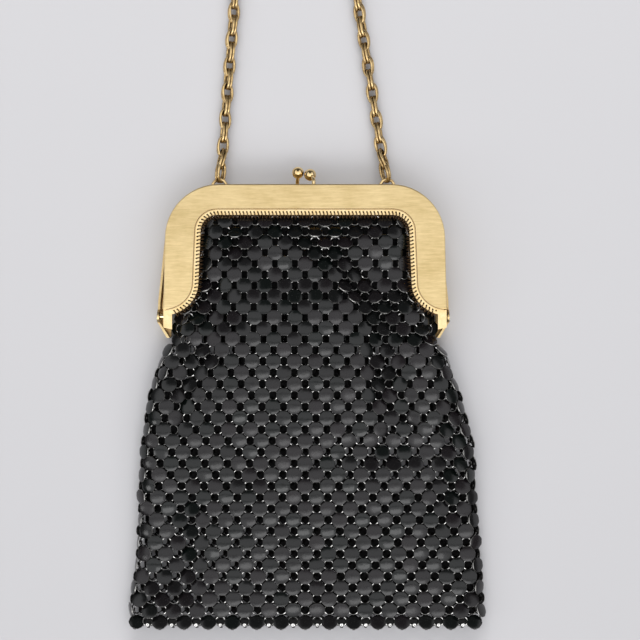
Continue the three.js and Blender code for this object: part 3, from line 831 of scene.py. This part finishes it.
# %% The lattice
SIDE_STEP = 0.008
FRONT_FROM = 0.3
EAR_SIDES_FROM = -0.2
LAST_ROW_LEAN = 30
EAR_ROWS = range(8, 12)
FLATTER_BY_EARS = 1.2
LOOSE_AT_FOOT = 0.4
LOOSER_IN_FOLDS = -0.5
WIDER_AT_FOOT = 0.35
SHAPE_REACH = 3.4
SHAPE_DEPTH = 0.55
EDGE_RING_OFFSET = (0, 1.2, -0.5)
EDGE_RING_FACING = (0, -0.3, 0.95)
RING_DEPTH = 1.45

disc_places = Places()
ring_places = Places()
edge_places = Places()

for row in range(ROW_COUNT):
    above = outlines[max(0, row - 1)]
    below = outlines[min(ROW_COUNT - 1, row + 1)]
    last = row == ROW_COUNT - 1
    widen = 1 + (pitch_in_row(row) / TOP_PITCH - 1) * WIDER_AT_FOOT
    for share, is_gap in places_in_row(row):
        here = outlines[row].at(share)
        side = outlines[row].at(share + SIDE_STEP) - outlines[row].at(share - SIDE_STEP)
        out = unit(np.cross(below.at(share) - above.at(share), side))
        x = (here[0] - FRAME_CENTRE) / MM
        up = aside = folded = 0.0
        if out[2] > FRONT_FROM:
            up, aside, folded = lean_at(x, row_drops[row])
        if last:
            out = np.array([0, 0, math.copysign(1, out[2])])
            up = LAST_ROW_LEAN
        elif row in EAR_ROWS and out[2] > EAR_SIDES_FROM:
            out[2] += FLATTER_BY_EARS
            out = unit(out)
        plain = out
        out = unit(out + [math.tan(math.radians(aside)), math.tan(math.radians(up)), 0])
        side = unit(side)
        dip = SHAPE_REACH * math.sqrt(1 - out[2] ** 2) + SHAPE_DEPTH
        here[2] = max(here[2], dip * MM)
        if is_gap:
            ring_places.add(here - plain * RING_DEPTH * MM, plain, side, 1, widen)
        else:
            loose = LOOSE_AT_FOOT if last else 1 + LOOSER_IN_FOLDS * folded
            disc_places.add(here, out, side, loose, widen)
        if last and is_gap and plain[2] > 0:
            foot = here - np.array(EDGE_RING_OFFSET) * MM
            edge_places.add(foot, EDGE_RING_FACING, (1, 0, 0))

print(f"Lattice: {len(disc_places.points)} discs and {len(ring_places.points)} rings")

# %% [markdown]
# ## One disc and its arms
# A disc is a shallow dome on a rounded octagon, nearly flat in its middle and falling
# away towards its edge. On each of four sides an arm folds back behind the disc, as far
# as the wire of a ring. The arms stand just behind the disc and cut into that wire, which
# doesn't show at this size. All have few faces, because there are about a thousand discs.

# %% A disc
DISC_HALF = 3.0
CORNER_SPREAD = math.radians(7)
DOME_SHARES = (0.42, 0.68, 0.86, 1.0)
DOME_HEIGHT = 0.38
DOME_POWER = 2.6
FLARE = 1.035
DISC_THICKNESS = 0.3


def octagon():
    """Corners of a unit octagon, each cut off by a short side"""
    spots = []
    for corner in range(8):
        middle = math.pi * (corner + 0.5) / 4
        for turn in (middle - CORNER_SPREAD, middle + CORNER_SPREAD):
            reach = 1 / math.cos(math.pi / 8 - CORNER_SPREAD)
            spots.append(Vector((math.cos(turn) * reach, math.sin(turn) * reach, 0)))
    return spots


def disc_mesh():
    shape = bmesh.new()
    bare_and_glint = shape.faces.layers.float.new("bare_and_glint")
    levels = [(share, -DOME_HEIGHT * share**DOME_POWER) for share in DOME_SHARES]
    levels.append((FLARE, -DOME_HEIGHT - DISC_THICKNESS))
    rings = []
    for share, height in levels:
        lift = Vector((0, 0, height * MM))
        rings.append([shape.verts.new(spot * share * DISC_HALF * MM + lift) for spot in octagon()])
    crown = shape.verts.new((0, 0, 0))
    count = len(rings[0])
    for side in range(count):
        after = (side + 1) % count
        shape.faces.new((crown, rings[0][side], rings[0][after]))
        for inner, outer in zip(rings, rings[1:]):
            face = shape.faces.new((inner[side], outer[side], outer[after], inner[after]))
            face[bare_and_glint] = float(outer is rings[-1])
    shape.faces.new(rings[-1][::-1])
    for ring in rings[-2:]:
        for side in range(count):
            shape.edges.get((ring[side - 1], ring[side])).smooth = False
    return finished(shape, "disc")


# %% Four arms
ARM_WIDTH = 1.1
ARM_THICKNESS = 0.22
ARM_PATH = ((2.2, -1.0), (2.95, -1.0), (2.97, -1.9), (1.5, -2.0))
ARM_BEND_FROM = 2.5
ARM_BACK_BELOW = -1.5


def arms_mesh():
    shape = bmesh.new()
    for quarter in range(4):
        turn = Matrix.Rotation(quarter * math.pi / 2, 3, "Z")
        rings = []
        for reach, height in ARM_PATH:
            inner = reach - ARM_THICKNESS * (reach > ARM_BEND_FROM)
            inward = height + ARM_THICKNESS * (1 if height < ARM_BACK_BELOW else -1)
            half = ARM_WIDTH / 2
            corners = (
                (reach, -half, height),
                (reach, half, height),
                (inner, half, inward),
                (inner, -half, inward),
            )
            rings.append([shape.verts.new(turn @ Vector(corner) * MM) for corner in corners])
        for first, second in zip(rings, rings[1:]):
            for corner in range(4):
                after = (corner + 1) % 4
                shape.faces.new((first[corner], first[after], second[after], second[corner]))
        shape.faces.new(rings[0][::-1])
        shape.faces.new(rings[-1])
    bmesh.ops.recalc_face_normals(shape, faces=shape.faces)
    return finished(shape, "arms")


# %% The bag's discs, arms and rings
MESH_SEED = 11
DISC_TILT = 8

enamel_discs = scattered(
    "enamel_discs", disc_places, disc_mesh(), DISC_TILT, MESH_SEED, black_enamel
)
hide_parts("mesh_bag")
scattered("disc_arms", disc_places, arms_mesh(), DISC_TILT, MESH_SEED, ring_silver)

# %% [markdown]
# ## Rings
# A ring of silver wire sits behind each gap and holds the arms of four discs. Little of
# it shows between them, so its colour has painted highlights at four points and painted
# shade, a dark grey, elsewhere. Along the bag's foot small round rings close the front and
# the back on each other.

# %% Rings behind the gaps and along the foot
RING_RADIUS = 2.0
RING_WIRE = 0.27
RING_TILT = 3
RING_STEPS = 12
RING_SIDES = 5
EDGE_RING_WIDTH = 1.0
EDGE_RING_WIRE = 0.36
EDGE_RING_TILT = 10
EDGE_RING_SIDES = 8

ring = loop_mesh("ring", 2 * RING_RADIUS, 2 * RING_RADIUS, RING_WIRE, RING_STEPS, RING_SIDES)
scattered("mesh_rings", ring_places, ring, RING_TILT, MESH_SEED, ring_silver)

bead = loop_mesh(
    "edge_ring", EDGE_RING_WIDTH, EDGE_RING_WIDTH, EDGE_RING_WIRE, RING_STEPS, EDGE_RING_SIDES
)
scattered(
    "edge_rings", edge_places, bead, EDGE_RING_TILT, MESH_SEED, polished_silver
)

# %% [markdown]
# ## The sewing wire
# A spiral of dark wire holds the mesh to each rim, one turn to each hole. In front it
# goes down through the holes and round the rim's inner edge, and behind it runs just
# above the plain back rim. Its path is the window's outline: up one leg, round the
# corner, across and down again.

# %% The line of the sewing holes
HEEL_X, HEEL_DROP = 59.1, 41.0
HEEL_RADII = (12.0, 11.1)
CORNER_X, CORNER_DROP = 36.7, 19.7
WINDOW_RADIUS = 9.5
HOLE_INSET = 1.35
HOLE_LIMIT = 54.7
ARC_STEPS = 16
HOLE_PITCH = 1.52


def hole_line():
    """The holes' line from the foot of the left leg to the foot of the right one"""
    left = []
    wide, high = (radius + HOLE_INSET for radius in HEEL_RADII)
    start = math.acos((HEEL_X - HOLE_LIMIT) / wide)
    for turn in np.linspace(start, 0, ARC_STEPS):
        left.append((-HEEL_X + wide * math.cos(turn), HEEL_DROP + high * math.sin(turn)))
    corner = WINDOW_RADIUS - HOLE_INSET
    for turn in np.linspace(0, math.pi / 2, ARC_STEPS):
        left.append((-CORNER_X - corner * math.cos(turn), CORNER_DROP - corner * math.sin(turn)))
    return np.array(left + [(-x, drop) for x, drop in reversed(left)])


# %% Sewing spirals
SPIRAL_WIRE = 0.19
SPIRAL_REACH = 2.9
SPIRAL_HEIGHT = 1.7
SPIRAL_SQUARE = 0.7
SPIRAL_STEPS = 12
SPIRAL_SIDES = 5
RIM_THICKNESS = 0.9
ABOVE_BACK_RIM = 1.3


def spiral(z):
    """One turn of wire to each hole, reaching from the holes' line inwards"""
    line = hole_line()
    along = distances(line)
    turns = round(along[-1] / HOLE_PITCH)
    spots = np.linspace(0, along[-1], turns * SPIRAL_STEPS + 1)
    x, drop = (np.interp(spots, along, line[:, axis]) for axis in range(2))
    ahead = np.stack([np.gradient(x), np.gradient(drop)], axis=1)
    ahead /= np.linalg.norm(ahead, axis=1)[:, None]
    phase = 2 * math.pi * np.arange(len(spots)) / SPIRAL_STEPS
    waves = (np.cos(phase), np.sin(phase))
    across, up = (np.sign(wave) * np.abs(wave) ** SPIRAL_SQUARE for wave in waves)
    inward = SPIRAL_REACH * (1 - across) / 2
    height = z + SPIRAL_HEIGHT / 2 * up
    return [
        at(a - go[1] * reach, d + go[0] * reach, h)
        for a, d, go, reach, h in zip(x, drop, ahead, inward, height)
    ]


front_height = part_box("rim_front")[1].z / MM - RIM_THICKNESS / 2
back_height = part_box("rim_back")[1].z / MM + ABOVE_BACK_RIM
spirals = [spiral(front_height), spiral(back_height)]
wired("sewing_wire", spirals, SPIRAL_WIRE, SPIRAL_SIDES, sewing_bronze)

# %% [markdown]
# ## The clasp
# Two polished balls on bent stems snap past each other. The CAD balls have flat facets,
# so smooth ones take their places, found from the corners of the CAD pieces' boxes.

# %% Balls and stems
BALL_RADIUS = 2.55
BALL_SEGMENTS = (32, 20)
STEM_RADIUS = 0.8
STEM_STEPS = 6
STEM_SIDES = 14

# Across, drop and height of each stem, from its foot inside the frame to near its ball
FRONT_STEM = ((3.6, 2, 14.3), (3.6, -0.6, 14.3), (3.5, -2.2, 14), (3.0, -3.4, 12.6))
REAR_STEM = ((-3.4, 2, 4.7), (-3.4, -0.6, 4.8), (-3.3, -2.4, 5.6), (-3.15, -4, 7.2))

front_low, front_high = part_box("clasp_ball_front")
rear_low, rear_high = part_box("clasp_ball_back")
front_ball = (
    (front_low.x - FRAME_CENTRE) / MM + BALL_RADIUS,
    (FRAME_TOP - front_high.y) / MM + BALL_RADIUS,
    front_low.z / MM + BALL_RADIUS,
)
rear_ball = (
    (rear_low.x - FRAME_CENTRE) / MM + BALL_RADIUS,
    (FRAME_TOP - rear_high.y) / MM + BALL_RADIUS,
    rear_high.z / MM - BALL_RADIUS,
)


def smooth_line(points, steps):
    """A soft curve through all the points"""
    ends = [2 * points[0] - points[1], *points, 2 * points[-1] - points[-2]]
    curve = []
    for a, b, c, d in zip(ends, ends[1:], ends[2:], ends[3:]):
        for t in np.linspace(0, 1, steps, endpoint=False):
            curve.append(
                (2 * b + (c - a) * t + (2 * a - 5 * b + 4 * c - d) * t**2
                 + (3 * b - 3 * c + d - a) * t**3) / 2
            )
    return curve + [points[-1]]


def ball_mesh():
    shape = bmesh.new()
    around, up = BALL_SEGMENTS
    bmesh.ops.create_uvsphere(shape, u_segments=around, v_segments=up, radius=BALL_RADIUS * MM)
    return finished(shape, "ball")


ball_places = Places()
for ball in (front_ball, rear_ball):
    ball_places.add(at(*ball), (0, 0, 1), (1, 0, 0))
clasp_balls = scattered(
    "clasp_balls", ball_places, ball_mesh(), 0, 1, polished_gold
)
stems = []
for path, ball in ((FRONT_STEM, front_ball), (REAR_STEM, rear_ball)):
    stems.append(smooth_line([at(*spot) for spot in (*path, ball)], STEM_STEPS))
clasp_stems = wired(
    "clasp_stems", stems, STEM_RADIUS, STEM_SIDES, polished_gold
)
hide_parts("clasp_ball_front")
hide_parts("clasp_ball_back")

# %% [markdown]
# ## The chain
# The handle is a chain of doubled links: pairs of oval loops side by side, each pair
# turned a quarter round from the last and passing through it. All are rolled a little
# the same way, so none lies quite flat. The two ovals of a pair are splayed, so that
# they cross. The path is the CAD chain's: down from the bails, along the floor and round
# an arch at the top.

# %% The path of the chain
LINK_LENGTH = 9.7
LINK_WIDTH = 5.2
LINK_WIRE = 1.2
LINK_APART = 1.2
LINK_SPLAY = 3
LINK_PITCH = 5.7
ARCH_OFFSET = -8.2
ARCH_RADIUS = 13
ARCH_START = 190
LANDING = 16
LYING_HEIGHT = 2.85
BAIL_HEIGHT = 5
BAIL_WIRE = 0.6
STRAND_STEPS = 60
ARCH_STEPS = 24

bail_x = [
    (sum(corner.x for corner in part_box(node)) / 2 - FRAME_CENTRE) / MM
    for node in ("chain_bail_left", "chain_bail_right")
]
bail_end = (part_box("chain_bail_left")[1].y - FRAME_TOP) / MM
first_link = bail_end - 2 * BAIL_WIRE - LINK_WIRE + LINK_LENGTH / 2


def strand(from_x, to_x):
    """Points along one side of the handle, from its bail to the arch"""
    points = []
    for up in np.linspace(first_link, ARCH_START, STRAND_STEPS):
        ease = min(1, (up - first_link) / LANDING)
        fall = ease * ease * (3 - 2 * ease)
        height = BAIL_HEIGHT + (LYING_HEIGHT - BAIL_HEIGHT) * fall
        points.append(at(from_x + (to_x - from_x) * up / ARCH_START, -up, height))
    return points


def arch():
    """Points round the top of the handle, between its two sides"""
    points = []
    for turn in np.linspace(math.pi, 0, ARCH_STEPS)[1:-1]:
        x = ARCH_OFFSET + ARCH_RADIUS * math.cos(turn)
        points.append(at(x, -ARCH_START - ARCH_RADIUS * math.sin(turn), LYING_HEIGHT))
    return points


route = np.array(
    strand(bail_x[0], ARCH_OFFSET - ARCH_RADIUS)
    + arch()
    + strand(bail_x[1], ARCH_OFFSET + ARCH_RADIUS)[::-1]
)

# %% Links along the path
LINK_SWAY = (14, 6)
LINK_ROLL = 20
END_ROLL = 50
LINK_STEPS = 16
LINK_SIDES = 8
LOOK_AHEAD = 0.4 * MM
CHAIN_SEED = 5

along = distances(route)
pair_count = 2 * round(along[-1] / (LINK_PITCH * MM) / 2) + 1
chance = np.random.default_rng(CHAIN_SEED)
link_places = Places()
for pair in range(pair_count):
    spot = along[-1] * pair / (pair_count - 1)
    here = point_along(spot, along, route)
    ahead = point_along(spot + LOOK_AHEAD, along, route)
    behind = point_along(spot - LOOK_AHEAD, along, route)
    along_chain = Vector(ahead - behind).normalized()
    roll = 90 * (pair % 2) + LINK_ROLL + chance.uniform(-1, 1) * LINK_SWAY[0]
    if pair in (0, pair_count - 1):
        roll = END_ROLL
    sway = Matrix.Rotation(math.radians(chance.uniform(-1, 1) * LINK_SWAY[1]), 3, "Z")
    flat = Matrix.Rotation(math.radians(roll), 3, along_chain) @ Vector((0, 0, 1))
    link_places.add(here, tuple(flat), tuple(sway @ along_chain))

link_pair = loop_mesh(
    "link_pair",
    LINK_LENGTH - LINK_WIRE,
    LINK_WIDTH - LINK_WIRE,
    LINK_WIRE / 2,
    LINK_STEPS,
    LINK_SIDES,
    LINK_APART,
    math.radians(LINK_SPLAY),
)
chain_links = scattered("chain_links", link_places, link_pair, 0, 1, chain_gold)
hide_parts("chain")
print(f"Chain: {along[-1] / MM:.0f} mm, {pair_count} pairs of links")
